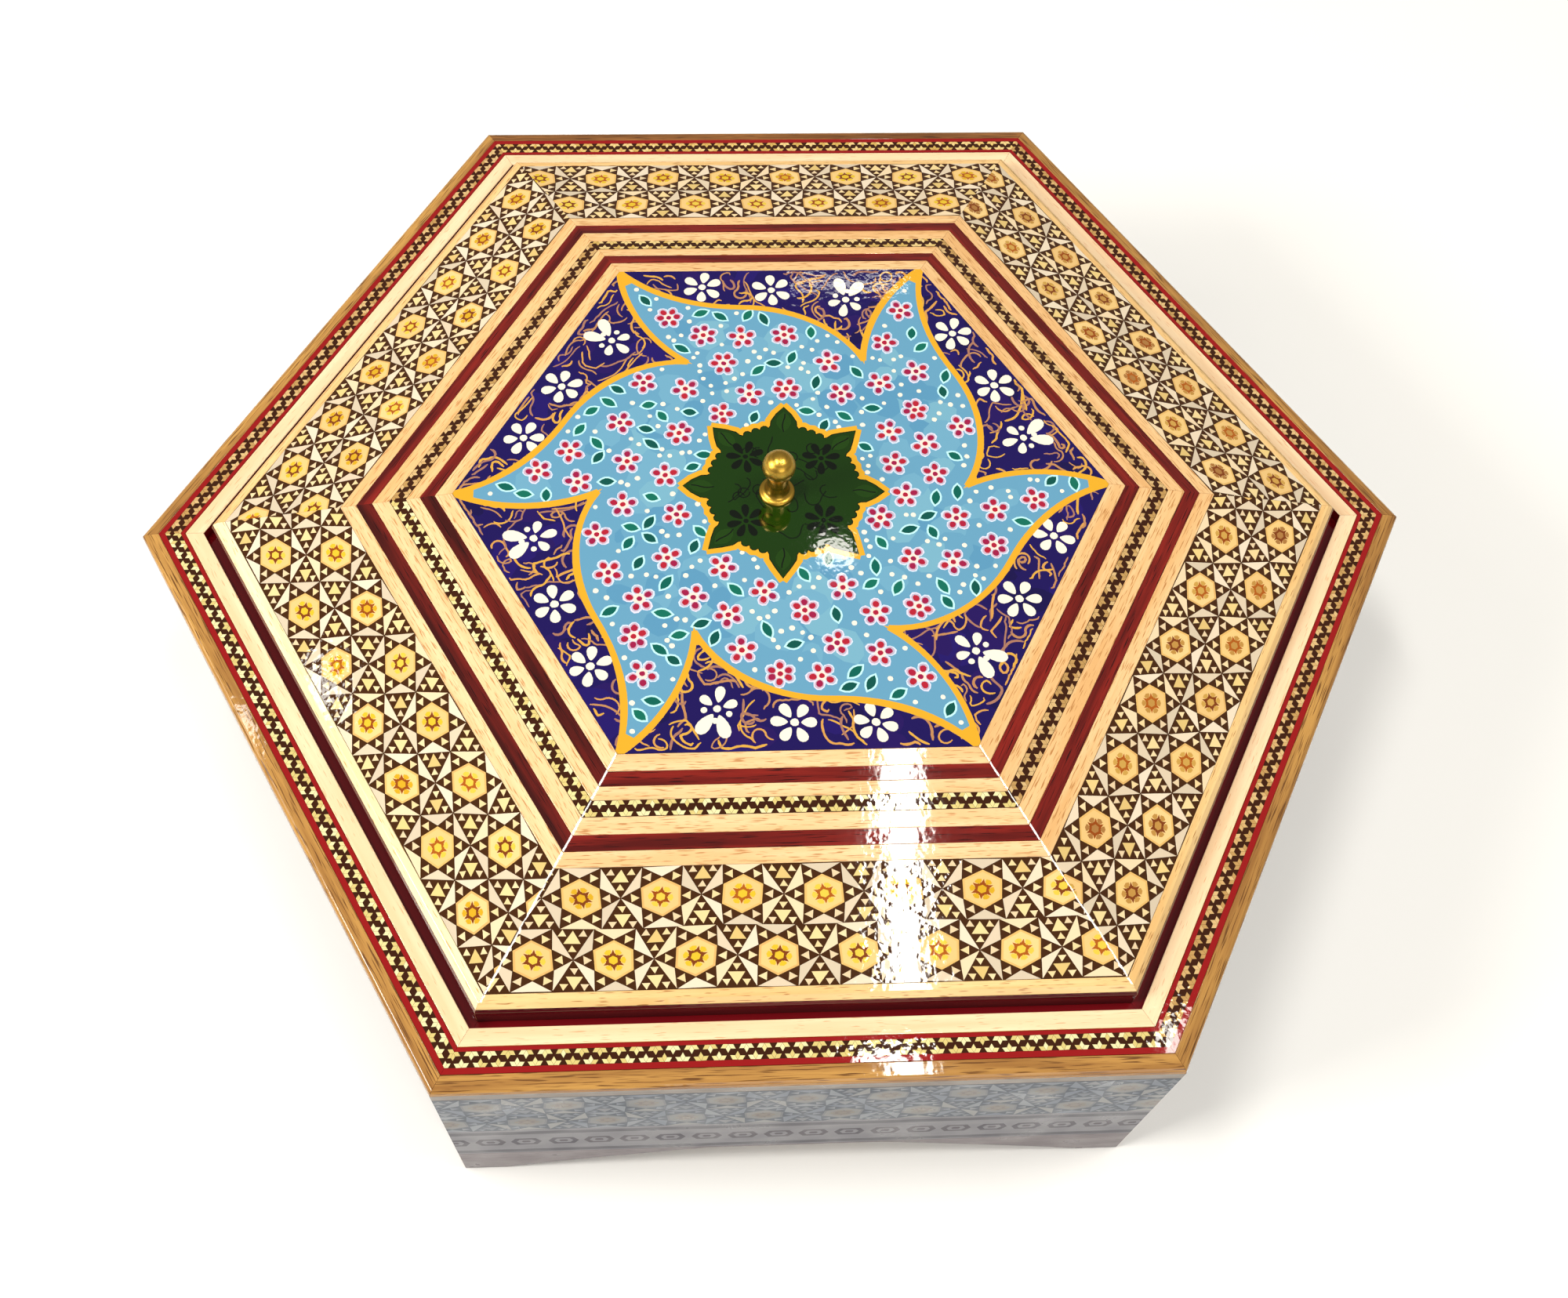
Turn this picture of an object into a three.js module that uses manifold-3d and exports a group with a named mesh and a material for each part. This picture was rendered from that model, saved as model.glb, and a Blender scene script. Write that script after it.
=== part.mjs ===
// A hexagonal wooden sweet dish with a lift-off lid, faced with khatam marquetry.
// Millimetres, +Z up. The origin is on the surface it stands on, at the middle of its feet.
// Two flat sides face -Y and +Y, and two corners point along -X and +X.

import * as THREE from 'three';
import { mergeVertices } from 'three/addons/utils/BufferGeometryUtils.js';
import Module from 'manifold-3d';

// Driving dimensions of the box
const acrossFlats = 249.4;       // outside of the box, flat side to flat side
const boxHeight = 65;            // feet to the top of the rim
const wallThickness = 9;
const veneerThickness = 1;       // khatam and line inlays, everywhere
const wideVeneerHeight = 25.5;   // the two-row khatam band round the outside
const borderVeneerHeight = 20.1; // the row of small figures under it, with its two lines
const archHeight = 13;           // clear height under the middle of each side
const archTopHalf = 19;          // half the level stretch of the arch
const footLength = 8;            // level sole of each foot, from the corner along the side
const floorThickness = 5;
const floorAboveArch = 2;        // the floor board lies this much higher than the arch

// Driving dimensions of the rim
const rimThickness = 5.3;
const rimEdgeWidth = 3.46;       // brown bevelled edge
const rimInlayWidth = 5.08;      // thin khatam line between two crimson lines
const rimCreamWidth = 3.56;
const rimEdgeDrop = 0.5;         // fall of the bevelled edge
const rimArris = 0.8;            // rounding of its outer corner
const rebateDepth = 3;           // the lid drops this deep into the rim
const ledgeWidth = 8.6;

// Driving dimensions of the lid
const lidClearance = 2;          // groove all round between the lid and the rim
const lidEdgeHeight = 6.9;       // ledge to the upper edge of the lid
const lidEdgeRound = 1.5;
const lidSlope = 0.2267;         // rise over run of the six sloping sides
const lidThickness = 6;
const lidSeatWidth = 4.6;        // part of the lid's underside that lies on the ledge
const panelThickness = 5.5;

// Strips on a lid side, from its outer edge inwards, as plan widths
const edgeStrip = 3;
const wideKhatam = 22.8;
const strip1 = 3.1;
const stripe1 = 3.1;
const strip2 = 3.4;
const thinKhatam = 3.2;
const strip3 = 2.7;
const stripe2 = 2.9;
const strip4 = 3.4;

// Driving dimensions of the knob
const knobBaseRadius = 3.95;
const knobBaseThickness = 0.9;
const knobNeckRadius = 2.35;
const knobBallRadius = 3.65;
const knobBallHeight = 10.2;     // middle of the ball above the panel
const knobX = -1.5;              // the knob isn't quite in the middle
const knobY = -0.9;

// Glue lines
const mitreGap = 0.05;
const glueGap = 0.04;

// Derived sizes
const sides = 6;
const turn = (2 * Math.PI) / sides;
const halfTan = Math.tan(turn / 2);
const halfCos = Math.cos(turn / 2);
const outer = acrossFlats / 2;
const rimTop = boxHeight;
const rimBottom = rimTop - rimThickness;
const ledgeTop = rimTop - rebateDepth;
const rimWidth = rimEdgeWidth + rimInlayWidth + rimCreamWidth;
const rebateEdge = outer - rimWidth;
const ledgeEdge = rebateEdge - ledgeWidth;
const wallInner = outer - wallThickness;
const floorBottom = archHeight + floorAboveArch;
const lidOuter = rebateEdge - lidClearance;
const lidEdgeTop = ledgeTop + lidEdgeHeight;
const lidWidth = edgeStrip + wideKhatam + strip1 + stripe1 + strip2 + thinKhatam + strip3 + stripe2 + strip4;
const panelRadius = lidOuter - lidWidth;
const lidTopAt = (apothem) => lidEdgeTop + (lidOuter - apothem) * lidSlope;
const panelTop = lidTopAt(panelRadius);
const lidDepth = lidThickness * Math.hypot(1, lidSlope);

const woodPale = new THREE.MeshStandardMaterial({ color: 0xe9cf9d, roughness: 0.35, metalness: 0 });
const woodBrown = new THREE.MeshStandardMaterial({ color: 0xb07f3c, roughness: 0.4, metalness: 0 });
const woodRed = new THREE.MeshStandardMaterial({ color: 0x6e1f22, roughness: 0.3, metalness: 0 });
const khatam = new THREE.MeshStandardMaterial({ color: 0xc9b68a, roughness: 0.3, metalness: 0 });
const khatamLine = new THREE.MeshStandardMaterial({ color: 0xa8903f, roughness: 0.3, metalness: 0 });
const sideWood = new THREE.MeshStandardMaterial({ color: 0xa7a2a1, roughness: 0.4, metalness: 0 });
const sideKhatam = new THREE.MeshStandardMaterial({ color: 0x9aa3a8, roughness: 0.4, metalness: 0 });
const painted = new THREE.MeshStandardMaterial({ color: 0x2d2a86, roughness: 0.3, metalness: 0 });
const brass = new THREE.MeshStandardMaterial({ color: 0xc8a23c, roughness: 0.25, metalness: 1 });

const wasm = await Module();
wasm.setup();

// Solids that are cut
function toManifold(geometry) {
  const bare = geometry.clone();
  bare.deleteAttribute('normal');
  bare.deleteAttribute('uv');
  const merged = mergeVertices(bare, 1e-5);
  return new wasm.Manifold(new wasm.Mesh({
    numProp: 3,
    vertProperties: new Float32Array(merged.attributes.position.array),
    triVerts: new Uint32Array(merged.index.array),
  }));
}

function toGeometry(solid) {
  const mesh = solid.getMesh();
  const geometry = new THREE.BufferGeometry();
  geometry.setAttribute('position', new THREE.BufferAttribute(mesh.vertProperties, 3));
  geometry.setIndex(new THREE.BufferAttribute(mesh.triVerts, 1));
  return geometry;
}

// A bar along the front side: its section is drawn as (apothem, height), and both ends are mitred
function mitredBar(section) {
  const shape = new THREE.Shape(section.map(([u, v]) => new THREE.Vector2(u, v)));
  const geometry = new THREE.ExtrudeGeometry(shape, { depth: 1, bevelEnabled: false });
  const position = geometry.attributes.position;
  for (let i = 0; i < position.count; i += 1) {
    const apothem = position.getX(i);
    const height = position.getY(i);
    const along = 1 - 2 * position.getZ(i);
    const half = apothem * halfTan - mitreGap / (2 * halfCos);
    position.setXYZ(i, along * half, -apothem, height);
  }
  return geometry;
}

// A hexagonal ring of the same kind of section, in one piece
function ring(section) {
  const corners = section.map(([u, v]) => new THREE.Vector2(u / halfCos, v));
  const geometry = new THREE.LatheGeometry([...corners, corners[0]], sides, Math.PI / 2);
  return geometry.rotateX(Math.PI / 2);
}

function hexagonPlate(apothem, bottom, top) {
  const corners = [];
  for (let i = 0; i < sides; i += 1) {
    const radius = apothem / halfCos;
    corners.push(new THREE.Vector2(radius * Math.cos(i * turn), radius * Math.sin(i * turn)));
  }
  const geometry = new THREE.ExtrudeGeometry(new THREE.Shape(corners), {
    depth: top - bottom,
    bevelEnabled: false,
  });
  return geometry.translate(0, 0, bottom);
}

const dish = new THREE.Group();
const box = new THREE.Group();
const lid = new THREE.Group();
dish.add(box, lid);

function addPiece(group, name, geometry, material) {
  const mesh = new THREE.Mesh(geometry, material);
  mesh.name = name;
  group.add(mesh);
  return mesh;
}

function addSixTimes(group, name, geometry, material) {
  for (let i = 0; i < sides; i += 1) {
    addPiece(group, `${name}_${i + 1}`, geometry, material).rotation.z = i * turn;
  }
}

// Box walls, rebated for the veneer, with an arch between two feet
const veneerFace = outer - veneerThickness - glueGap;
const veneerBottom = rimBottom - wideVeneerHeight - borderVeneerHeight;

function archCutter() {
  const footEnd = outer * halfTan - footLength;
  const shape = new THREE.Shape();
  shape.moveTo(-footEnd, -1);
  shape.lineTo(-footEnd, 0);
  const rise = [[footEnd, 0], [footEnd * 0.8, archHeight * 0.38], [footEnd * 0.6, archHeight * 0.62]];
  const crown = [archTopHalf, archHeight];
  shape.bezierCurveTo(-rise[1][0], rise[1][1], -rise[2][0], rise[2][1], -crown[0], crown[1]);
  shape.lineTo(crown[0], crown[1]);
  shape.bezierCurveTo(rise[2][0], rise[2][1], rise[1][0], rise[1][1], rise[0][0], rise[0][1]);
  shape.lineTo(footEnd, -1);
  const deep = wallThickness * 3;
  const geometry = new THREE.ExtrudeGeometry(shape, { depth: deep, bevelEnabled: false, curveSegments: 7 });
  return geometry.rotateX(Math.PI / 2).translate(0, -outer + deep - wallThickness, 0);
}

const wallBar = mitredBar([
  [wallInner, 0],
  [outer, 0],
  [outer, veneerBottom],
  [veneerFace, veneerBottom],
  [veneerFace, rimBottom],
  [wallInner, rimBottom],
]);
const wall = toGeometry(toManifold(wallBar).subtract(toManifold(archCutter())));
addSixTimes(box, 'wall', wall, sideWood);

function wallVeneer(bottom, top) {
  const back = outer - veneerThickness;
  return mitredBar([[back, bottom], [outer, bottom], [outer, top], [back, top]]);
}

const borderTop = veneerBottom + borderVeneerHeight;
addSixTimes(box, 'wall_border', wallVeneer(veneerBottom + glueGap, borderTop - glueGap), sideKhatam);
addSixTimes(box, 'wall_khatam', wallVeneer(borderTop, rimBottom - glueGap), sideKhatam);

addPiece(
  box,
  'floor',
  hexagonPlate(wallInner - glueGap, floorBottom, floorBottom + floorThickness),
  woodPale,
);

// Rim: six mitred bars with a rebate for the lid and a channel for the inlay
const inlayOuter = outer - rimEdgeWidth;
const inlayInner = inlayOuter - rimInlayWidth;
const inlayFloor = rimTop - veneerThickness - glueGap;
const rimBar = mitredBar([
  [ledgeEdge, rimBottom],
  [outer, rimBottom],
  [outer, rimTop - rimEdgeDrop - rimArris * 1.6],
  [outer - rimArris * 0.25, rimTop - rimEdgeDrop - rimArris * 0.6],
  [outer - rimArris, rimTop - rimEdgeDrop],
  [inlayOuter, rimTop],
  [inlayOuter, inlayFloor],
  [inlayInner, inlayFloor],
  [inlayInner, rimTop],
  [rebateEdge, rimTop],
  [rebateEdge, ledgeTop],
  [ledgeEdge, ledgeTop],
]);
addSixTimes(box, 'rim', rimBar, woodBrown);

const rimInlay = mitredBar([
  [inlayInner + glueGap, inlayFloor + glueGap],
  [inlayOuter - glueGap, inlayFloor + glueGap],
  [inlayOuter - glueGap, rimTop],
  [inlayInner + glueGap, rimTop],
]);
addSixTimes(box, 'rim_inlay', rimInlay, khatamLine);

// Lid: six mitred sloping sides, channelled for four inlays
const khatamOuter = lidOuter - edgeStrip;
const khatamInner = khatamOuter - wideKhatam;
const stripe1Outer = khatamInner - strip1;
const stripe1Inner = stripe1Outer - stripe1;
const lineOuter = stripe1Inner - strip2;
const lineInner = lineOuter - thinKhatam;
const stripe2Outer = lineInner - strip3;
const stripe2Inner = stripe2Outer - stripe2;
const channels = [
  [khatamOuter, khatamInner],
  [stripe1Outer, stripe1Inner],
  [lineOuter, lineInner],
  [stripe2Outer, stripe2Inner],
];
const channelDepth = veneerThickness + glueGap;

function lidSection() {
  const seatInner = lidOuter - lidSeatWidth;
  const underAt = (apothem) => lidTopAt(apothem) - lidDepth;
  const section = [
    [panelRadius, underAt(panelRadius)],
    [seatInner, Math.max(underAt(seatInner), ledgeTop)],
    [seatInner, ledgeTop],
    [lidOuter, ledgeTop],
    [lidOuter, lidEdgeTop - lidEdgeRound],
    [lidOuter - lidEdgeRound * 0.3, lidEdgeTop - lidEdgeRound * 0.35],
    [lidOuter - lidEdgeRound, lidTopAt(lidOuter - lidEdgeRound)],
  ];
  for (const [from, to] of channels) {
    section.push([from, lidTopAt(from)]);
    section.push([from, lidTopAt(from) - channelDepth]);
    section.push([to, lidTopAt(to) - channelDepth]);
    section.push([to, lidTopAt(to)]);
  }
  section.push([panelRadius, panelTop]);
  return section;
}

addSixTimes(lid, 'lid_side', mitredBar(lidSection()), woodPale);

function lidInlaySection(channel) {
  const from = channel[0] - glueGap;
  const to = channel[1] + glueGap;
  return [
    [to, lidTopAt(to) - veneerThickness],
    [from, lidTopAt(from) - veneerThickness],
    [from, lidTopAt(from)],
    [to, lidTopAt(to)],
  ];
}

addSixTimes(lid, 'lid_khatam', mitredBar(lidInlaySection(channels[0])), khatam);
addSixTimes(lid, 'lid_line', mitredBar(lidInlaySection(channels[2])), khatamLine);
addPiece(lid, 'lid_stripe_outer', ring(lidInlaySection(channels[1])), woodRed);
addPiece(lid, 'lid_stripe_inner', ring(lidInlaySection(channels[3])), woodRed);

addPiece(
  lid,
  'lid_panel',
  hexagonPlate(panelRadius - glueGap, panelTop - panelThickness, panelTop),
  painted,
);

// Knob: a ball on a short neck and a round foot, turned from brass
function knobProfile() {
  const points = [
    [0, 0],
    [knobBaseRadius, 0],
    [knobBaseRadius, knobBaseThickness * 0.7],
    [knobBaseRadius * 0.92, knobBaseThickness],
    [knobNeckRadius * 1.3, knobBaseThickness * 1.3],
    [knobNeckRadius * 1.05, knobBaseThickness * 2.4],
    [knobNeckRadius, knobBaseThickness * 4],
  ];
  const neckAngle = Math.asin((knobNeckRadius * 1.08) / knobBallRadius);
  const steps = 12;
  for (let i = 0; i < steps; i += 1) {
    const angle = neckAngle + ((Math.PI - neckAngle) * i) / steps;
    points.push([knobBallRadius * Math.sin(angle), knobBallHeight - knobBallRadius * Math.cos(angle)]);
  }
  points.push([0, knobBallHeight + knobBallRadius]);
  return points.map(([radius, height]) => new THREE.Vector2(radius, height));
}

const knob = addPiece(
  lid,
  'knob',
  new THREE.LatheGeometry(knobProfile(), 28).rotateX(Math.PI / 2),
  brass,
);
knob.position.set(knobX, knobY, panelTop);

export default dish;
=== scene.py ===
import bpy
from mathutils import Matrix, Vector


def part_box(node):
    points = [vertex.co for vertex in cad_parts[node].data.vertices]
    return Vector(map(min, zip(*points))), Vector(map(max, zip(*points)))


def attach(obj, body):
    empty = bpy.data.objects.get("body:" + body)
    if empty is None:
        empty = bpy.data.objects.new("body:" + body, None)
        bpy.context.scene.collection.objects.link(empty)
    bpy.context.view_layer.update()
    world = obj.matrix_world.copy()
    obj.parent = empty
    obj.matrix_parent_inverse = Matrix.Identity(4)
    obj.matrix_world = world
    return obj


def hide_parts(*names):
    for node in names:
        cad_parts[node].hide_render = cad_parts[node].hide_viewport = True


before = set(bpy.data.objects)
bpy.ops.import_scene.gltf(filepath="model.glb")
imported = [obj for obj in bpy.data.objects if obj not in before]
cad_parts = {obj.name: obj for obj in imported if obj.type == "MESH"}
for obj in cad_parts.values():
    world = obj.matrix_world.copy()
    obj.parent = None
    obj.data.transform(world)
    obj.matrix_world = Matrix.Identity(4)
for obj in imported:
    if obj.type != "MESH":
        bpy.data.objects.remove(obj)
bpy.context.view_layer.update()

# A hexagonal khatam sweet dish: its woods, marquetry, painted panel and brass knob.
# Lengths are millimetres until a mesh is made. A side is drawn as the front one, facing -Y,
# and turned about Z to its place.

import math
import random

import bmesh
import bpy
from mathutils import Matrix, Vector
from mathutils.geometry import delaunay_2d_cdt

MM = 0.001
SIDES = 6
TURN = math.tau / SIDES
HALF_TAN = math.tan(TURN / 2)
HALF_COS = math.cos(TURN / 2)
SEED = 17


def node_box(node):
    low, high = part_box(node)
    return [v / MM for v in low], [v / MM for v in high]


def front_strip(node):
    """Outer and inner apothem, lowest and highest level of a piece on the front side."""
    low, high = node_box(node)
    return -low[1], -high[1], low[2], high[2]


# Sizes read from the frame
OUTER = front_strip("wall_1")[0]
RIM_TOP = front_strip("rim_1")[3]
INLAY_OUTER, INLAY_INNER = front_strip("rim_inlay_1")[:2]
BORDER_BOTTOM, BORDER_TOP = front_strip("wall_border_1")[2:]
KHATAM_BOTTOM, KHATAM_TOP = front_strip("wall_khatam_1")[2:]
LID_OUTER, PANEL_RADIUS, _, PANEL_TOP = front_strip("lid_side_1")
LID_KHATAM_OUTER, LID_KHATAM_INNER = front_strip("lid_khatam_1")[:2]
LID_LINE_OUTER, LID_LINE_INNER = front_strip("lid_line_1")[:2]
LID_SLOPE = 0.2267
VENEER = 1.0
HIP_ROUND = 0.9
BROWN_DEPTH = 2.0


def lid_top_at(apothem):
    return PANEL_TOP - (apothem - PANEL_RADIUS) * LID_SLOPE


# Materials


def srgb(r, g, b):
    """A colour as the eye reads it, 0 to 255, turned into the light that a shader takes."""
    def channel(v):
        v = v / 255
        return v / 12.92 if v <= 0.04045 else ((v + 0.055) / 1.055) ** 2.4
    return (channel(r), channel(g), channel(b), 1.0)


def new_material(name):
    material = bpy.data.materials.new(name)
    material.use_nodes = True
    tree = material.node_tree
    return material, tree, tree.nodes["Principled BSDF"]


def set_inputs(made, **values):
    for key, value in values.items():
        made.inputs[key.replace("_", " ")].default_value = value


def node(tree, kind, **values):
    made = tree.nodes.new(kind)
    for key, value in values.items():
        if hasattr(made, key):
            setattr(made, key, value)
        else:
            set_inputs(made, **{key: value})
    return made


def join(tree, source, output, target, socket):
    tree.links.new(source.outputs[output], target.inputs[socket])


def vary_roughness(tree, shader, texture, low, high):
    spread = node(tree, "ShaderNodeMapRange", From_Min=0.3, From_Max=0.7, To_Min=low, To_Max=high)
    join(tree, texture, "Fac", spread, "Value")
    join(tree, spread, "Result", shader, "Roughness")


def lacquer(tree, shader, roughness=0.03, ripple=0.03, gloss=0.5, fine=0.011):
    """A thick brushed lacquer: slow ripples that break up a reflection, and fine dust."""
    set_inputs(shader, IOR=1.5, Specular_IOR_Level=gloss)
    place = node(tree, "ShaderNodeTexCoord")
    slow = node(tree, "ShaderNodeTexNoise", Scale=110.0, Detail=2.0)
    quick = node(tree, "ShaderNodeTexNoise", Scale=620.0, Detail=1.5)
    join(tree, place, "Object", slow, "Vector")
    join(tree, place, "Object", quick, "Vector")
    bump_slow = node(tree, "ShaderNodeBump", Strength=1.0, Distance=ripple * MM)
    bump_quick = node(tree, "ShaderNodeBump", Strength=1.0, Distance=fine * MM)
    join(tree, slow, "Fac", bump_slow, "Height")
    join(tree, quick, "Fac", bump_quick, "Height")
    join(tree, bump_slow, "Normal", bump_quick, "Normal")
    join(tree, bump_quick, "Normal", shader, "Normal")
    vary_roughness(tree, shader, slow, roughness * 0.7, roughness * 1.4)


def paint(name, colour, metallic=0.0, roughness=0.03, **finish):
    material, tree, shader = new_material(name)
    set_inputs(shader, Base_Color=srgb(*colour), Metallic=metallic)
    lacquer(tree, shader, roughness, **finish)
    return material


def shades(name, colours, metallic=0.0, **finish):
    return [paint(f"{name}_{i + 1}", colour, metallic, **finish) for i, colour in enumerate(colours)]


def mix_colours(tree, factor, first, second):
    mix = node(tree, "ShaderNodeMix", data_type="RGBA")
    tree.links.new(factor, mix.inputs["Factor"])
    for socket, value in ((mix.inputs[6], first), (mix.inputs[7], second)):
        if isinstance(value, tuple):
            socket.default_value = value
        else:
            tree.links.new(value, socket)
    return mix.outputs[2]


def grain_noise(tree, along, across, detail, low, high):
    """Noise drawn out along the grain, as a share from 0 to 1 between two of its levels."""
    grain = node(tree, "ShaderNodeUVMap", uv_map="Grain")
    stretch = node(tree, "ShaderNodeMapping", Scale=(along, across, 1.0))
    texture = node(tree, "ShaderNodeTexNoise", Scale=1.0, Detail=detail)
    level = node(tree, "ShaderNodeMapRange", From_Min=low, From_Max=high)
    join(tree, grain, "UV", stretch, "Vector")
    join(tree, stretch, "Vector", texture, "Vector")
    join(tree, texture, "Fac", level, "Value")
    return level.outputs["Result"]


def wood(name, pale, deep, fleck, fleck_level=0.62, fleck_rate=0.26, roughness=0.035, **finish):
    """Wood with slow bands of shade, fine streaks and short flecks along the grain."""
    material, tree, shader = new_material(name)
    bands = grain_noise(tree, 0.022, 0.35, 2.0, 0.35, 0.65)
    base = mix_colours(tree, bands, srgb(*pale), srgb(*deep))
    streaks = grain_noise(tree, 0.09, 2.6, 3.0, 0.5, 0.85)
    base = mix_colours(tree, streaks, base, srgb(*deep))
    flecks = grain_noise(tree, fleck_rate, 3.6, 1.0, fleck_level, fleck_level + 0.08)
    base = mix_colours(tree, flecks, base, srgb(*fleck))
    tree.links.new(base, shader.inputs["Base Color"])
    lacquer(tree, shader, roughness, **finish)
    return material


CREAM = wood("cream_wood", (240, 200, 146), (228, 178, 118), (190, 134, 78), 0.58)
CREAM_PALE = wood("cream_wood_pale", (243, 208, 160), (232, 188, 134), (194, 140, 88), 0.58)
RIM_CREAM = wood("rim_cream_wood", (250, 222, 182), (242, 204, 160), (226, 168, 124), 0.64)
EDGE_CREAM = wood("lid_edge_wood", (242, 206, 146), (228, 184, 120), (176, 124, 70))
# A paler copy of the lid's edge wood: a painted highlight along the rounded edge of the front left side.
EDGE_PAINTED_HIGHLIGHT = wood("lid_edge_wood_painted_highlight", (250, 234, 190), (242, 218, 166), (206, 166, 110))
BROWN = wood("rim_brown_wood", (194, 146, 78), (150, 104, 54), (110, 72, 38), 0.56, 0.13)
BROWN_BACK = wood("rim_brown_wood_back", (158, 106, 56), (118, 74, 36), (84, 50, 24), 0.56, 0.13)
# The dark maroon of the lid's side: its own stain, deepened by painted shade.
LID_EDGE_DARK = wood("lid_edge_stain_and_shade", (96, 34, 34), (70, 14, 22), (40, 8, 12), 0.66)
RED_BROWN = wood("red_brown_wood", (134, 32, 24), (82, 16, 14), (50, 8, 8), 0.6, 0.14)
RED_DEEP = wood("red_brown_wood_deep", (106, 26, 20), (60, 14, 12), (40, 8, 8), 0.6, 0.14)
INSIDE = wood("inside_wood", (226, 190, 134), (204, 164, 106), (150, 108, 64))
CRIMSON = paint("crimson_paint", (144, 18, 20))
LEDGE_RED = paint("ledge_paint", (112, 8, 18))
SIDE_FINISH = {"roughness": 0.35, "gloss": 0.12}
# The box's sides and the rim's outer face get greyed, darkened woods: painted shade on the sides under the
# rim.
BASE_STRIP = wood("base_strip_wood", (139, 131, 134), (127, 119, 123), (104, 97, 101), 0.62, **SIDE_FINISH)
SIDE_BEIGE = wood("side_beige_wood", (156, 147, 139), (143, 134, 127), (116, 107, 102), 0.62, **SIDE_FINISH)


def veneers(name, colours, metallic=0.0):
    return shades(name, colours, metallic, fine=0.02)


BLACK = veneers("khatam_black", [(64, 33, 6), (74, 41, 11)])
LINE_BLACK = veneers("line_black", [(56, 23, 3)])
BONE = veneers("khatam_bone", [(228, 210, 184), (216, 198, 172), (232, 209, 172), (208, 192, 168),
                              (230, 214, 190)])
CHIP = veneers("khatam_chip", [(230, 204, 152), (222, 198, 160), (234, 210, 164)])
YELLOW = veneers("khatam_yellow_wood", [(228, 200, 132), (216, 186, 118), (232, 207, 150)])
HONEY = veneers("khatam_honey", [(232, 195, 126), (228, 190, 124), (235, 201, 136)])
HONEY_EDGE = veneers("khatam_honey_edge", [(224, 180, 106), (218, 173, 104)])
ORANGE = veneers("khatam_star", [(146, 70, 16), (122, 58, 18), (168, 88, 22)])
BRASS_BIT = veneers("khatam_brass", [(244, 204, 52), (232, 182, 40), (248, 214, 78)], 0.25)
# A darker copy of the star brass: painted shade, for the sides where the brass turns away from the light.
BRASS_BIT_SHADED = veneers("khatam_brass_shaded", [(206, 154, 76), (184, 130, 70), (220, 172, 84)], 0.25)

# The crown lines are painted paler brass on some sides of the box than on others: painted light where the
# brass catches the lamps, painted shade where it turns away. Lit, half-shaded and shaded copies stand for one
# brass.
LINE_PALE = veneers("line_pale", [(242, 228, 160), (228, 208, 132), (248, 238, 184)], 0.2)
LINE_HALF_SHADED = veneers("line_brass_half_shaded", [(236, 202, 124), (220, 182, 100), (244, 214, 146)], 0.2)
LINE_SHADED = veneers("line_brass_shaded", [(218, 178, 118), (200, 158, 96), (228, 192, 134)], 0.2)


def brass():
    material, tree, shader = new_material("knob_brass")
    set_inputs(shader, Base_Color=srgb(222, 176, 72), Metallic=1.0)
    place = node(tree, "ShaderNodeTexCoord")
    turned = node(tree, "ShaderNodeMapping", Scale=(60.0, 60.0, 2600.0))
    rings = node(tree, "ShaderNodeTexNoise", Scale=1.0, Detail=2.0)
    bump = node(tree, "ShaderNodeBump", Strength=1.0, Distance=0.012 * MM)
    join(tree, place, "Object", turned, "Vector")
    join(tree, turned, "Vector", rings, "Vector")
    join(tree, rings, "Fac", bump, "Height")
    join(tree, bump, "Normal", shader, "Normal")
    vary_roughness(tree, shader, rings, 0.24, 0.4)
    return material


BRASS = brass()


# Meshes


def add_object(name, data):
    made = bpy.data.objects.new(name, data)
    bpy.context.scene.collection.objects.link(made)
    return made


def make_object(name, mesh, node_name):
    piece = add_object(name, mesh)
    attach(piece, "root")
    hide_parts(node_name)


def mesh_of(solid, name, materials):
    mesh = bpy.data.meshes.new(name)
    solid.to_mesh(mesh)
    solid.free()
    for material in materials:
        mesh.materials.append(material)
    return mesh


def clean_copy(node_name):
    """The node's solid with its triangles joined into whole faces again."""
    solid = bmesh.new()
    solid.from_mesh(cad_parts[node_name].data)
    bmesh.ops.remove_doubles(solid, verts=solid.verts, dist=1e-6)
    bmesh.ops.dissolve_limit(solid, angle_limit=math.radians(0.5), verts=solid.verts, edges=solid.edges)
    return solid


def side_number(place):
    """The side of the hexagon that a place lies on, counted from the front."""
    return round((math.atan2(place.y, place.x) + math.pi / 2) / TURN)


def grain_map(solid, turn, offset):
    """A map in millimetres: along the side, and across it or up it, whichever the face shows.

    With no turn given, each face goes by the side of the hexagon that it lies on.
    """
    layer = solid.loops.layers.uv.new("Grain")
    for face in solid.faces:
        side = turn
        if side is None:
            centre = face.calc_center_median()
            side = side_number(centre) * TURN
        back = Matrix.Rotation(-side, 3, "Z")
        normal = back @ face.normal
        for loop in face.loops:
            place = back @ loop.vert.co / MM
            across = place.z if abs(normal.z) < 0.5 else place.y
            loop[layer].uv = (place.x + offset + side * 90, across + offset * 0.37)


def soften_long_edges(solid, turn, width, least=0.35):
    """Rounds the convex edges that run along the side; the mitred ends stay sharp."""
    along = Matrix.Rotation(turn, 3, "Z") @ Vector((1, 0, 0))
    edges = []
    for edge in solid.edges:
        if not edge.is_manifold or not edge.is_convex or edge.calc_face_angle() < least:
            continue
        direction = (edge.verts[1].co - edge.verts[0].co).normalized()
        if abs(direction.dot(along)) > 0.999:
            edges.append(edge)
    bmesh.ops.bevel(solid, geom=edges, offset=width * MM, segments=3, profile=0.5, affect="EDGES")


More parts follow.
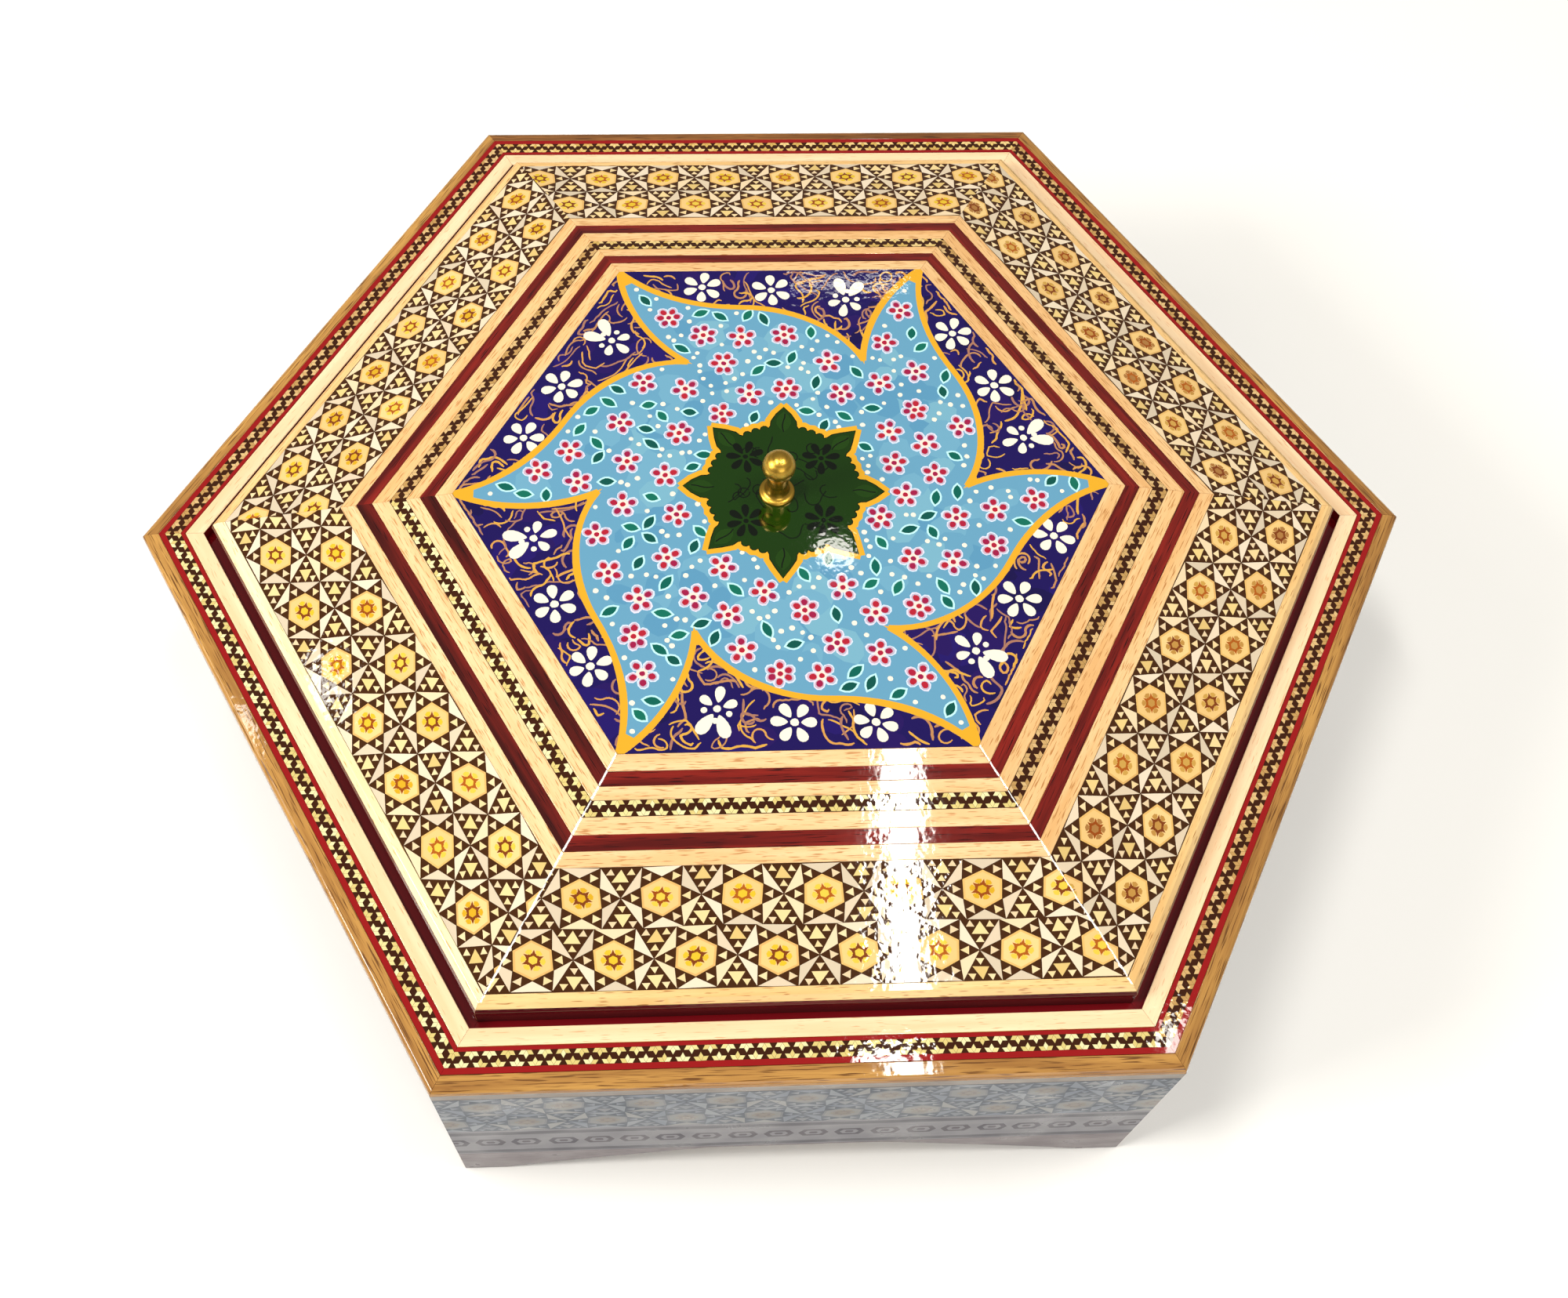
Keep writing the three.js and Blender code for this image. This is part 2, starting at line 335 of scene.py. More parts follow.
def hip_gap(place):
    """Distance in millimetres from the nearest of the six hips, seen from above, and its angle."""
    around = math.atan2(place.y, place.x)
    hip = round(around / TURN) * TURN
    return abs(math.sin(around - hip)) * math.hypot(place.x, place.y) / MM, hip


def cut_beside_hips(solid):
    """Lines on both sides of every hip, so that only the strip between them is shaded round."""
    for i in range(SIDES):
        angle = i * TURN
        across = Vector((-math.sin(angle), math.cos(angle), 0.0))
        for side in (-1, 1):
            half = [f for f in solid.faces if f.calc_center_median().dot(Vector(
                (math.cos(angle), math.sin(angle), 0.0))) > 0]
            geometry = set(half)
            for face in half:
                geometry.update(face.edges)
                geometry.update(face.verts)
            bmesh.ops.bisect_plane(solid, geom=list(geometry), plane_co=across * side * HIP_ROUND * MM,
                                   plane_no=across)


def shade_round(mesh, lid=False):
    """Flat faces stay flat, narrow ones turn smoothly from one flat face to the next."""
    touching = [[] for _ in mesh.vertices]
    for face in mesh.polygons:
        for vertex in face.vertices:
            touching[vertex].append((face.normal.copy(), face.area ** 2))
    hip_slope = math.atan(LID_SLOPE * HALF_COS)
    normals = []
    for face in mesh.polygons:
        face.use_smooth = True
        sloping = lid and 0.9 < face.normal.z < 0.99
        for vertex in face.vertices:
            gap, hip = hip_gap(mesh.vertices[vertex].co)
            if sloping and gap < 0.1:
                flat = math.sin(hip_slope)
                normals.append(Vector((flat * math.cos(hip), flat * math.sin(hip), math.cos(hip_slope))))
                continue
            total = Vector()
            for normal, weight in touching[vertex]:
                if normal.dot(face.normal) > 0.64:
                    total += normal * weight
            normals.append(total.normalized() if total.length else face.normal.copy())
    mesh.normals_split_custom_set(normals)


def dressed_node(node_name, materials, choose, turn=0.0, offset=0.0, soften=0.0,
                 lid=False, cut_level=None, ring=False):
    """A piece with the node's own shape, softened edges and a material chosen for each face."""
    solid = clean_copy(node_name)
    if soften:
        soften_long_edges(solid, turn, soften)
    if lid:
        cut_beside_hips(solid)
    if cut_level:
        bmesh.ops.bisect_plane(solid, geom=solid.verts[:] + solid.edges[:] + solid.faces[:],
                               plane_co=(0.0, 0.0, cut_level * MM), plane_no=(0.0, 0.0, 1.0))
    grain_map(solid, None if ring else turn, offset)
    back = Matrix.Rotation(-turn, 3, "Z")
    for face in solid.faces:
        centre = back @ face.calc_center_median() / MM
        face.material_index = choose(centre, back @ face.normal)
    name = f"{node_name}_dressed"
    mesh = mesh_of(solid, name, materials)
    shade_round(mesh, lid)
    make_object(name, mesh, node_name)


def anticlockwise(shape):
    area = 0.0
    for (x0, y0), (x1, y1) in zip(shape, shape[1:] + shape[:1]):
        area += x0 * y1 - x1 * y0
    return shape if area > 0 else shape[::-1]


def plate(name, outline, tiles, place, thickness, node_name, ground, extra=(), lid=False):
    """A flush inlay: tiles, each (outline, material), let into a plate of the ground material.

    Outlines are in the plate's own plane; place turns (u, v, depth) into millimetres in the
    object's frame. Where tiles overlap, the later one shows.
    """
    corners = [Vector(p) for p in anticlockwise(outline)]
    faces = [list(range(len(corners)))]
    owners = [ground]
    for shape, material in tiles:
        start = len(corners)
        corners.extend(Vector(p) for p in anticlockwise(shape))
        faces.append(list(range(start, len(corners))))
        owners.append(material)
    edges = []
    for line in extra:
        start = len(corners)
        corners.extend(Vector(p) for p in line)
        edges.append((start, start + 1))
    points, _, cells, _, _, sources = delaunay_2d_cdt(corners, edges, faces, 1, 1e-4, True)
    materials = []
    solid = bmesh.new()
    top = [solid.verts.new(Vector(place(p.x, p.y, 0.0)) * MM) for p in points]
    for cell, source in zip(cells, sources):
        if 0 not in source:
            continue
        owner = owners[max(source)]
        if owner not in materials:
            materials.append(owner)
        face = solid.faces.new([top[i] for i in cell])
        face.material_index = materials.index(owner)
    solid.normal_update()
    loose = [v for v in solid.verts if not v.link_faces]
    bmesh.ops.delete(solid, geom=loose, context="VERTS")
    down = (Vector(place(0.0, outline[0][1], thickness)) - Vector(place(0.0, outline[0][1], 0.0))) * MM
    if solid.faces[:][0].normal.dot(down) > 0:
        bmesh.ops.reverse_faces(solid, faces=solid.faces)
    tiled = set(solid.faces)
    walls = bmesh.ops.extrude_edge_only(solid, edges=[e for e in solid.edges if e.is_boundary])
    fresh = [v for v in walls["geom"] if isinstance(v, bmesh.types.BMVert)]
    bmesh.ops.translate(solid, verts=fresh, vec=down)
    bmesh.ops.holes_fill(solid, edges=[e for e in solid.edges if e.is_boundary], sides=0)
    base = materials.index(ground) if ground in materials else 0
    for face in set(solid.faces) - tiled:
        face.material_index = base
    bmesh.ops.recalc_face_normals(solid, faces=solid.faces)
    mesh = mesh_of(solid, name, materials)
    if lid:
        shade_round(mesh, True)
    make_object(name, mesh, node_name)


# Khatam patterns


def polar(radius, degrees):
    angle = math.radians(degrees)
    return (radius * math.cos(angle), radius * math.sin(angle))


def middle_of(a, b):
    return ((a[0] + b[0]) / 2, (a[1] + b[1]) / 2)


def shrunk(shape, share):
    x = sum(p[0] for p in shape) / len(shape)
    y = sum(p[1] for p in shape) / len(shape)
    return [(x + (p[0] - x) * share, y + (p[1] - y) * share) for p in shape]


class StarBand:
    """Two staggered rows of honey hexagons in six-pointed stars, in units of their spacing."""

    HEXAGON = 0.2887
    TIP = 0.5
    STAR = 0.148
    HEART = 0.062

    def __init__(self, dice, palette):
        self.dice = dice
        self.palette = palette
        self.tiles = []

    def put(self, kind, shape):
        self.tiles.append((shape, self.dice.choice(self.palette[kind])))

    def triangle(self, corners, share):
        """A light triangle in the middle of a black one."""
        a, b, c = corners
        self.put("chip", shrunk([middle_of(a, b), middle_of(b, c), middle_of(c, a)], share))

    def star(self, x, y):
        def at(radius, degrees):
            dx, dy = polar(radius, degrees)
            return (x + dx, y + dy)

        for i in range(6):
            angle = 60 * i
            tip = at(self.TIP, angle)
            left = at(self.HEXAGON, angle + 30)
            right = at(self.HEXAGON, angle - 30)
            self.triangle([tip, left, right], 0.84)
            self.put("bone", shrunk([tip, at(self.TIP, angle + 60), left], 0.97))
        self.put("honey_edge", [at(self.HEXAGON * 0.97, 60 * i + 30) for i in range(6)])
        self.put("honey", [at(self.HEXAGON * 0.86, 60 * i + 30) for i in range(6)])
        lean = self.dice.uniform(-12, 12)
        orange = self.dice.choice(self.palette["orange"])
        brass = self.dice.choice(self.palette["brass"])
        self.tiles.append(([at(self.STAR * 0.72, 60 * i + lean) for i in range(6)], orange))
        for i in range(6):
            angle = 60 * i + lean
            point = [at(self.STAR * 0.5, angle + 4), at(self.STAR, angle + 30),
                     at(self.STAR * 0.5, angle + 56)]
            self.tiles.append((point, orange))
            petal = [at(self.STAR * 0.54, angle), at(self.STAR * 0.8, angle + 20), at(self.STAR, angle + 18),
                     at(self.STAR * 1.08, angle), at(self.STAR, angle - 18), at(self.STAR * 0.8, angle - 20)]
            self.tiles.append((petal, brass))
        self.tiles.append(([at(self.HEART, 60 * i + 30 + lean) for i in range(6)], brass))

    def gap(self, x, y, up):
        """The black triangle between stars: a yellow triangle and three small light ones."""
        half = math.sqrt(3) / 4
        corners = [(x, y), (x - 0.25, y + up * half), (x + 0.25, y + up * half)]
        a, b, c = corners
        ab, bc, ca = middle_of(a, b), middle_of(b, c), middle_of(c, a)
        self.put("yellow", shrunk([ab, bc, ca], 0.84))
        for corner in ([a, ab, ca], [b, bc, ab], [c, ca, bc]):
            self.triangle(corner, 0.84)

    def row(self, first, last, y, shift):
        for i in range(first, last + 1):
            self.star(i + shift, y)
            self.gap(i + shift + 0.5, y, 1)
            self.gap(i + shift + 0.5, y, -1)


def star_band(dice, palette, half_length, spacing, width, shift, lean=0.0):
    """Tiles of the band over a plan (along, across), across running from 0 to width inwards."""
    band = StarBand(dice, palette)
    reach = int(half_length / spacing) + 2
    row_gap = math.sqrt(3) / 2
    band.row(-reach, reach, -row_gap / 2, shift / spacing)
    band.row(-reach, reach, row_gap / 2, (shift + lean) / spacing + 0.5)
    squeeze = (width / 2) / row_gap
    wave = dice.uniform(0, math.tau)

    def place(p):
        along = p[0] * spacing
        across = p[1] * squeeze + width / 2
        along += 0.26 * math.sin(across * 0.5 + along * 0.11 + wave)
        across += 0.2 * math.sin(along * 0.17 + wave * 2)
        return (along, across)

    kept = []
    for shape, material in band.tiles:
        shape = [place(p) for p in shape]
        if min(abs(p[0]) for p in shape) < half_length + 1:
            kept.append((shape, material))
    return kept


def crown_line(dice, palette, half_length, width, spacing):
    """Two staggered rows of three-rhombus crowns, their points meeting along the middle."""
    side = spacing * 0.28
    tiles = []
    count = int(half_length / spacing) + 1
    for row, (base, up) in enumerate(((0.02, 1), (width - 0.02, -1))):
        for i in range(-count, count + 1):
            x = (i + row * 0.5) * spacing + dice.uniform(-0.05, 0.05)
            lean = dice.uniform(-3, 3)
            shade = dice.choice(palette)
            for start in (0, 60, 120):
                a = polar(side, start + lean)
                b = polar(side, start + 60 + lean)
                rhombus = [(0, 0), a, (a[0] + b[0], a[1] + b[1]), b]
                rhombus = shrunk(rhombus, 0.95)
                shape = [(x + p[0], base + up * max(p[1], 0.0)) for p in rhombus]
                tiles.append((shape, shade if dice.random() < 0.7 else dice.choice(palette)))
    return tiles


def mitred_outline(outer_half, inner_half, outer_at, inner_at):
    return [(-outer_half, outer_at), (outer_half, outer_at), (inner_half, inner_at), (-inner_half, inner_at)]


def raised(tiles, rise):
    return [([(u, v + rise) for u, v in shape], material) for shape, material in tiles]


def turned(turn):
    matrix = Matrix.Rotation(turn, 3, "Z")
    return lambda x, y, z: matrix @ Vector((x, y, z))


# Offsets of the stars along each side, front side first and then anticlockwise from above
STAR_SPACING = 15.76
STAR_SHIFTS = (10.1, 1.0, 10.9, 9.8, 12.2, 0.0)
STAR_LEANS = (1.4, 0, 0, 0, 0, 0)
SIDE_STAR_SHIFT = -2.4
CROWN_SPACING = 3.48
GLUE = 0.02
LIGHT_PALETTE = {"bone": BONE, "chip": CHIP, "yellow": YELLOW, "honey": HONEY,
                 "honey_edge": HONEY_EDGE, "orange": ORANGE, "brass": BRASS_BIT}
# The stars on the two right sides take the darker brass, as painted shade. Each side's crown line takes the
# lit, half-shaded or shaded brass, as painted light and shade.
SHADED_RIGHT_PALETTE = {**LIGHT_PALETTE, "brass": BRASS_BIT_SHADED}
STAR_PALETTES = (LIGHT_PALETTE, SHADED_RIGHT_PALETTE, SHADED_RIGHT_PALETTE, LIGHT_PALETTE, LIGHT_PALETTE, LIGHT_PALETTE)
LINE_PALETTES = (LINE_PALE, LINE_SHADED, LINE_SHADED, LINE_HALF_SHADED, LINE_SHADED, LINE_PALE)


def lid_strip(index, name, outer, inner, tiles_for, node_name, ground):
    """A veneer strip on one slope of the lid, with its tiles drawn over the plan."""
    turner = turned(index * TURN)
    width = outer - inner
    halves = [a * HALF_TAN - GLUE for a in (outer, inner)]
    outline = mitred_outline(*halves, 0.0, width)

    def place(u, v, depth):
        apothem = outer - v
        return turner(u, -apothem, lid_top_at(apothem) - depth)

    tiles = tiles_for(halves[0], width)
    back = HIP_ROUND / math.cos(TURN / 2)
    extra = [((side * (halves[0] - back), 0.0), (side * (halves[1] - back), width)) for side in (-1, 1)]
    plate(name, outline, tiles, place, VENEER, node_name, ground, extra, True)


def build_lid_inlays():
    for i in range(SIDES):
        dice = random.Random(SEED + i)
        lid_strip(
            i, f"lid_khatam_sheet_{i + 1}", LID_KHATAM_OUTER, LID_KHATAM_INNER,
            lambda half, width: star_band(dice, STAR_PALETTES[i], half, STAR_SPACING, width,
                                          STAR_SHIFTS[i], STAR_LEANS[i]),
            f"lid_khatam_{i + 1}", BLACK[0])
        lid_strip(
            i, f"lid_crown_line_{i + 1}", LID_LINE_OUTER, LID_LINE_INNER,
            lambda half, width: crown_line(dice, LINE_PALETTES[i], half, width, CROWN_SPACING),
            f"lid_line_{i + 1}", LINE_BLACK[0])


# Side faces of the box, whose marquetry is muted: greyer, bluer and darker than the lid's, as painted shade
# on the sides under the rim


def muted(name, *colours):
    return shades(f"side_{name}", colours, **SIDE_FINISH)


SIDE_PALETTE = {
    "bone": muted("bone", (142, 147, 155), (127, 134, 146), (150, 150, 151)),
    "chip": muted("chip", (140, 144, 151), (130, 136, 147)),
    "yellow": muted("yellow", (136, 138, 143), (126, 131, 139)),
    "honey": muted("honey", (139, 139, 139), (134, 135, 137)),
    "honey_edge": muted("honey_edge", (124, 126, 130)),
    "orange": muted("star", (130, 121, 119)),
    "brass": muted("brass", (140, 134, 127)),
}
SIDE_GROUND = paint("side_ground", (92, 99, 110), **SIDE_FINISH)
SIDE_LINE = paint("side_line", (94, 93, 101), **SIDE_FINISH)
SIDE_BORDER = paint("side_border", (132, 131, 137), **SIDE_FINISH)
SIDE_FIGURE = muted("figure", (88, 83, 92), (80, 76, 87))


def wall_sheet(index, name, bottom, top, tiles, ground, node_name):
    turner = turned(index * TURN)
    half = OUTER * HALF_TAN - GLUE
    outline = mitred_outline(half, half, bottom, top)

    def place(u, v, depth):
        return turner(u, -(OUTER - depth), v)

    plate(name, outline, tiles, place, VENEER, node_name, ground)


def border_tiles(dice, half):
    """A row of long hexagon figures between two dark lines."""
    line_height = 2.4
    lower_line = BORDER_BOTTOM + 0.7
    upper_line = BORDER_TOP - 1.35 - line_height
    middle = BORDER_BOTTOM + (BORDER_TOP - BORDER_BOTTOM) * 0.49
    spacing = 7.48
    first = 3.0
    loose = 0.2
    tiles = []
    for low in (upper_line, lower_line):
        tiles.append((mitred_outline(half, half, low, low + line_height), SIDE_LINE))
    count = int(half / spacing) + 1
    for i in range(-count, count + 1):
        x = first + i * spacing + dice.uniform(-loose, loose)
        figure = [(x - 3.2, middle), (x - 2.1, middle + 2.7), (x + 2.1, middle + 2.7),
                  (x + 3.2, middle), (x + 2.1, middle - 2.7), (x - 2.1, middle - 2.7)]
        tiles += [(figure, dice.choice(SIDE_FIGURE)), (shrunk(figure, 0.62), SIDE_BORDER),
                  (shrunk(figure, 0.3), SIDE_FIGURE[0])]
    return tiles


def build_side_inlays():
    for i in range(SIDES):
        dice = random.Random(SEED * 3 + i)
        half = OUTER * HALF_TAN
        height = KHATAM_TOP - KHATAM_BOTTOM
        stars = star_band(dice, SIDE_PALETTE, half, STAR_SPACING, height, STAR_SHIFTS[i] + SIDE_STAR_SHIFT)
        wall_sheet(i, f"wall_khatam_sheet_{i + 1}", KHATAM_BOTTOM, KHATAM_TOP,
                   raised(stars, KHATAM_BOTTOM), SIDE_GROUND, f"wall_khatam_{i + 1}")
        wall_sheet(i, f"wall_border_sheet_{i + 1}", BORDER_BOTTOM, BORDER_TOP,
                   border_tiles(dice, half + 1), SIDE_BORDER, f"wall_border_{i + 1}")


def build_rim_inlays():
    """The thin crown line of the rim between two crimson lines."""
    red_outer = 1.16
    red_inner = 0.82
    width = INLAY_OUTER - INLAY_INNER
    for i in range(SIDES):
        dice = random.Random(SEED * 5 + i)
        turner = turned(i * TURN)
        halves = [a * HALF_TAN - GLUE for a in (INLAY_OUTER, INLAY_INNER)]
        outline = mitred_outline(*halves, 0.0, width)
        black = mitred_outline(halves[0], halves[0], red_outer, width - red_inner)
        line = crown_line(dice, LINE_PALETTES[i], halves[0], width - red_outer - red_inner, CROWN_SPACING)
        tiles = [(black, LINE_BLACK[0])] + raised(line, red_outer)

        def place(u, v, depth):
            return turner(u, -(INLAY_OUTER - v), RIM_TOP - depth)

        plate(f"rim_crown_line_{i + 1}", outline, tiles, place, VENEER, f"rim_inlay_{i + 1}",
              CRIMSON)


# Painted panel, drawn in millimetres about its middle with +Y at the back


def panel_paints(name, *colours):
    """Shades of a paint, which lies smoother than the veneers round it."""
    return shades(f"paint_{name}", colours, ripple=0.01)


def panel_paint(name, colour):
    return paint(f"paint_{name}", colour, ripple=0.01)


GROUND_BLUE = panel_paints("ultramarine", (24, 11, 84), (30, 15, 98), (19, 9, 70), (33, 13, 88))
SKY = panel_paints("sky_blue", (97, 153, 185), (86, 144, 180), (106, 161, 190), (114, 168, 192))
GOLD_LINE = panel_paints("gold_ochre", (221, 164, 40))
VINE = panel_paints("vine", (204, 148, 76), (180, 128, 84), (212, 160, 66), (160, 112, 92))
WHITE = panel_paint("white", (238, 230, 214))
PALE_RING = panel_paints("pale_ring", (202, 218, 236), (214, 214, 232))
LILAC = panel_paints("lilac", (196, 168, 190), (182, 172, 196))
PINK = panel_paints("crimson_pink", (164, 26, 56), (150, 24, 68), (172, 30, 50))
ROSE_WHITE = panel_paint("rose_white", (242, 216, 206))
LEAF_GREEN = panel_paints("teal_green", (4, 92, 80), (4, 78, 70), (12, 104, 86))
LEAF_RING = panel_paint("leaf_ring", (182, 232, 238))
GREEN = panel_paints("dark_green", (20, 51, 5), (27, 60, 9))
NIGHT = panel_paint("black_green", (5, 14, 5))

PANEL_CORNER = PANEL_RADIUS / HALF_COS
LONG_SWEEP = (((-0.5, 0.866), (-0.4, 0.765), (-0.26, 0.712), (-0.1, 0.71)),
              ((-0.1, 0.71), (0.06, 0.708), (0.215, 0.625), (0.28, 0.49)))
SHORT_SWEEP = (((0.28, 0.49), (0.29, 0.62), (0.37, 0.78), (0.5, 0.866)),)


def bezier(handles, steps):
    a, b, c, d = (Vector(h) for h in handles)
    points = []
    for i in range(steps):
        t = i / steps
        s = 1 - t
        points.append(a * s ** 3 + b * 3 * s * s * t + c * 3 * s * t * t + d * t ** 3)
    return points


def spun(point, angle):
    c = math.cos(angle)
    s = math.sin(angle)
    return Vector((point[0] * c - point[1] * s, point[0] * s + point[1] * c))


def smooth_wave(dice, count, size):
    """A slow wander, as of a hand-held brush, one value for each step."""
    waves = [(dice.uniform(0.05, 0.5), dice.uniform(0, math.tau), dice.random()) for _ in range(4)]
    total = sum(w[2] for w in waves)
    return [size * sum(w[2] * math.sin(w[0] * i + w[1]) for w in waves) / total for i in range(count)]


def segment_gap(point, a, b):
    span = b - a
    length = span.length_squared
    t = 0.0 if length == 0 else max(0.0, min(1.0, (point - a).dot(span) / length))
    return (point - (a + span * t)).length


def outline_gap(point, shape):
    return min(segment_gap(point, shape[i - 1], shape[i]) for i in range(len(shape)))


def inside(point, shape):
    odd = False
    for i in range(len(shape)):
        a = shape[i - 1]
        b = shape[i]
        if (a.y > point.y) != (b.y > point.y):
            if point.x < (b.x - a.x) * (point.y - a.y) / (b.y - a.y) + a.x:
                odd = not odd
    return odd


class Painting:
    """Shapes of paint in the order in which they cover each other."""

    def __init__(self, dice):
        self.dice = dice
        self.tiles = []

    def pick(self, paints):
        return self.dice.choice(paints) if isinstance(paints, list) else paints

    def fill(self, shape, paints):
        self.tiles.append(([(p[0], p[1]) for p in shape], self.pick(paints)))

    def blob(self, middle, radius, paints, stretch=1.0, angle=0.0, sides=9):
        """A dab of the brush, nearly round."""
        lean = self.dice.uniform(0, math.tau)
        shape = []
        for i in range(sides):
            a = lean + math.tau * i / sides
            r = radius * self.dice.uniform(0.92, 1.08)
            shape.append(middle + spun((r * stretch * math.cos(a), r * math.sin(a)), angle))
        self.fill(shape, paints)

    def drop(self, root, angle, length, width, paints, belly=0.68):
        """A teardrop petal from its root outwards, widest near its far end."""
        shape = []
        steps = 14
        for i in range(steps):
            a = math.tau * i / steps
            reach = 0.5 - 0.5 * math.cos(a)
            half = math.sin(a) * (0.35 + 0.65 * reach ** belly)
            shape.append(root + spun((length * reach, width * 0.5 * half), angle))
        self.fill(shape, paints)

    def almond(self, middle, angle, length, width, paints):
        steps = 5
        half = []
        for i in range(1, steps):
            t = i / steps
            half.append((length * (t - 0.5), width * 0.5 * math.sin(math.pi * t) ** 0.8))
        shape = [(-length / 2, 0.0)] + half + [(length / 2, 0.0)] + [(x, -y) for x, y in reversed(half)]
        self.fill([middle + spun(p, angle) for p in shape], paints)

    def line(self, points, widths, paints):
        """A brush line as one four-sided piece a step, so that it may cross itself."""
        material = self.pick(paints)
        for i, (a, b) in enumerate(zip(points, points[1:])):
            ahead = (b - a).normalized()
            side = Vector((-ahead.y, ahead.x))
            wide_a = widths[i] / 2
            wide_b = widths[i + 1] / 2
            a = a - ahead * wide_a * 0.35
            b = b + ahead * wide_b * 0.35
            self.fill([a + side * wide_a, a - side * wide_a, b - side * wide_b, b + side * wide_b], material)


def pinwheel():
    """Outline of the sky-blue star, and its runs from point to point for the gold line."""
    runs = []
    outline = []
    for i in range(SIDES):
        for sweep in (LONG_SWEEP, SHORT_SWEEP):
            run = []
            for handles in sweep:
                run += bezier(handles, 14)
            run.append(Vector(sweep[-1][-1]))
            run = [spun(p * PANEL_CORNER, -i * TURN) for p in run]
            outline += run[:-1]
            runs.append(run)
    return outline, runs


def medallion(dice):
    """Outline of the green middle: eight leaf points with small lobes between them."""
    points = 8
    outline = []
    for i in range(points):
        start = math.radians(87 - 45 * i)
        tip = 22.8 + dice.uniform(-0.5, 0.5)
        half = ((17.0, 3.1), (18.3, 3.0), (20.4, 1.8))
        for x, y in (*half, (tip, 0.0), *((x, -y) for x, y in reversed(half))):
            outline.append(spun((x, y), start))
        for lobe in range(3):
            middle = start - math.radians(15.3 + 7.2 * lobe)
            for j in range(5):
                a = math.radians(72 - 36 * j)
                reach = 16.4 + 1.1 * math.cos(a)
                outline.append(spun((reach, 1.05 * math.sin(a)), middle))
    return outline


def shifted_outline(shape, distance):
    """The outline moved outwards by the distance, each corner along its own bisector."""
    moved = []
    count = len(shape)
    for i in range(count):
        before = (shape[i] - shape[i - 1]).normalized()
        after = (shape[(i + 1) % count] - shape[i]).normalized()
        normal = Vector((-before.y - after.y, before.x + after.x))
        if normal.length < 0.2:
            normal = Vector((-before.y, before.x))
        moved.append(shape[i] + normal.normalized() * distance)
    return moved


WHITE_FLOWERS = ((-0.232, 0.793, 4.7, False), (0.005, 0.786, 4.8, False), (0.232, 0.738, 4.5, True))


def paint_vines(painting, dice, star):
    """Gold curls over the ultramarine, led round the white flowers and mostly apart."""
    far = PANEL_CORNER * HALF_COS - 0.6
    step = 0.62
    apart = 0.95
    flowers = [(Vector((x, y)) * PANEL_CORNER, size * (1.28 if winged else 1.12))
               for x, y, size, winged in WHITE_FLOWERS]

    def free(place):
        if place.y > far or place.y < abs(place.x) * math.sqrt(3) - 1.0 or inside(place, star):
            return False
        return all((place - middle).length > clear for middle, clear in flowers)

    for i in range(SIDES):
        used = []
        drawn = 0
        for _ in range(1400):
            if drawn == 52:
                break
            place = Vector((dice.uniform(-0.46, 0.5), dice.uniform(0.5, 0.86))) * PANEL_CORNER
            crossing = dice.random() < 0.16
            near = [] if crossing else used
            if not free(place) or any((place - other).length < apart for other in near):
                continue
            heading = dice.uniform(0, math.tau)
            bend = dice.choice((-1, 1)) * dice.uniform(0.12, 0.34)
            width = dice.uniform(0.32, 0.56)
            points = [place]
            for _ in range(dice.randrange(7, 19)):
                bend = max(-0.46, min(0.46, bend + dice.uniform(-0.12, 0.12)))
                if dice.random() < 0.1:
                    bend = -bend
                ahead = None
                for turn in (0.0, 0.5, -0.5, 1.0, -1.0):
                    trial = place + spun((step, 0.0), heading + bend + turn)
                    if free(trial) and all((trial - other).length > apart * 0.8 for other in near):
                        ahead = trial
                        heading += bend + turn
                        break
                if ahead is None:
                    break
                place = ahead
                points.append(place)
            if len(points) < 6:
                continue
            drawn += 1
            used += points
            ends = (0, len(points) - 1)
            widths = [width * (0.55 if j in ends else dice.uniform(0.85, 1.15)) for j in range(len(points))]
            painting.line([spun(p, -i * TURN) for p in points], widths, VINE)


def white_flower(painting, middle, size, angle):
    for petal in range(6):
        a = angle + petal * TURN + painting.dice.uniform(-0.09, 0.09)
        long = size * painting.dice.uniform(0.66, 0.76)
        painting.drop(middle + spun((size * 0.28, 0), a), a, long, size * 0.6, WHITE)
    painting.blob(middle, size * 0.19, WHITE)


def winged_flower(painting, middle, size, angle):
    """Two long outward petals, four small ones and dots between them."""
    for a, start, long, wide in ((-0.46, 0.32, 1.2, 0.8), (0.46, 0.32, 1.2, 0.8),
                                 (2.1, 0.3, 0.68, 0.56), (-2.1, 0.3, 0.68, 0.56),
                                 (3.14, 0.32, 0.84, 0.6)):
        painting.drop(middle + spun((size * start, 0), angle + a), angle + a, size * long, size * wide, WHITE)
    for a in (0.0, 1.3, -1.3):
        painting.blob(middle + spun((size * 0.6, 0), angle + a), size * 0.15, WHITE)
    painting.blob(middle, size * 0.19, WHITE)


def pink_flower(painting, middle):
    dice = painting.dice
    petals = dice.choice((5, 5, 5, 6))
    lean = dice.uniform(0, math.tau)
    reach = dice.uniform(2.0, 2.25)
    angles = [lean + math.tau * i / petals + dice.uniform(-0.12, 0.12) for i in range(petals)]
    places = [(middle + spun((reach, 0), a), a) for a in angles]
    for place, a in places:
        painting.blob(place, 1.3, PALE_RING, 1.1, a)
    painting.blob(middle, 1.35, ROSE_WHITE)
    for place, a in places:
        painting.blob(place, 1.0, LILAC, 1.08, a)
    for place, a in places:
        painting.blob(place - spun((0.14, 0), a), 0.72, PINK, 1.14, a)
    painting.blob(middle, 0.62, PINK)


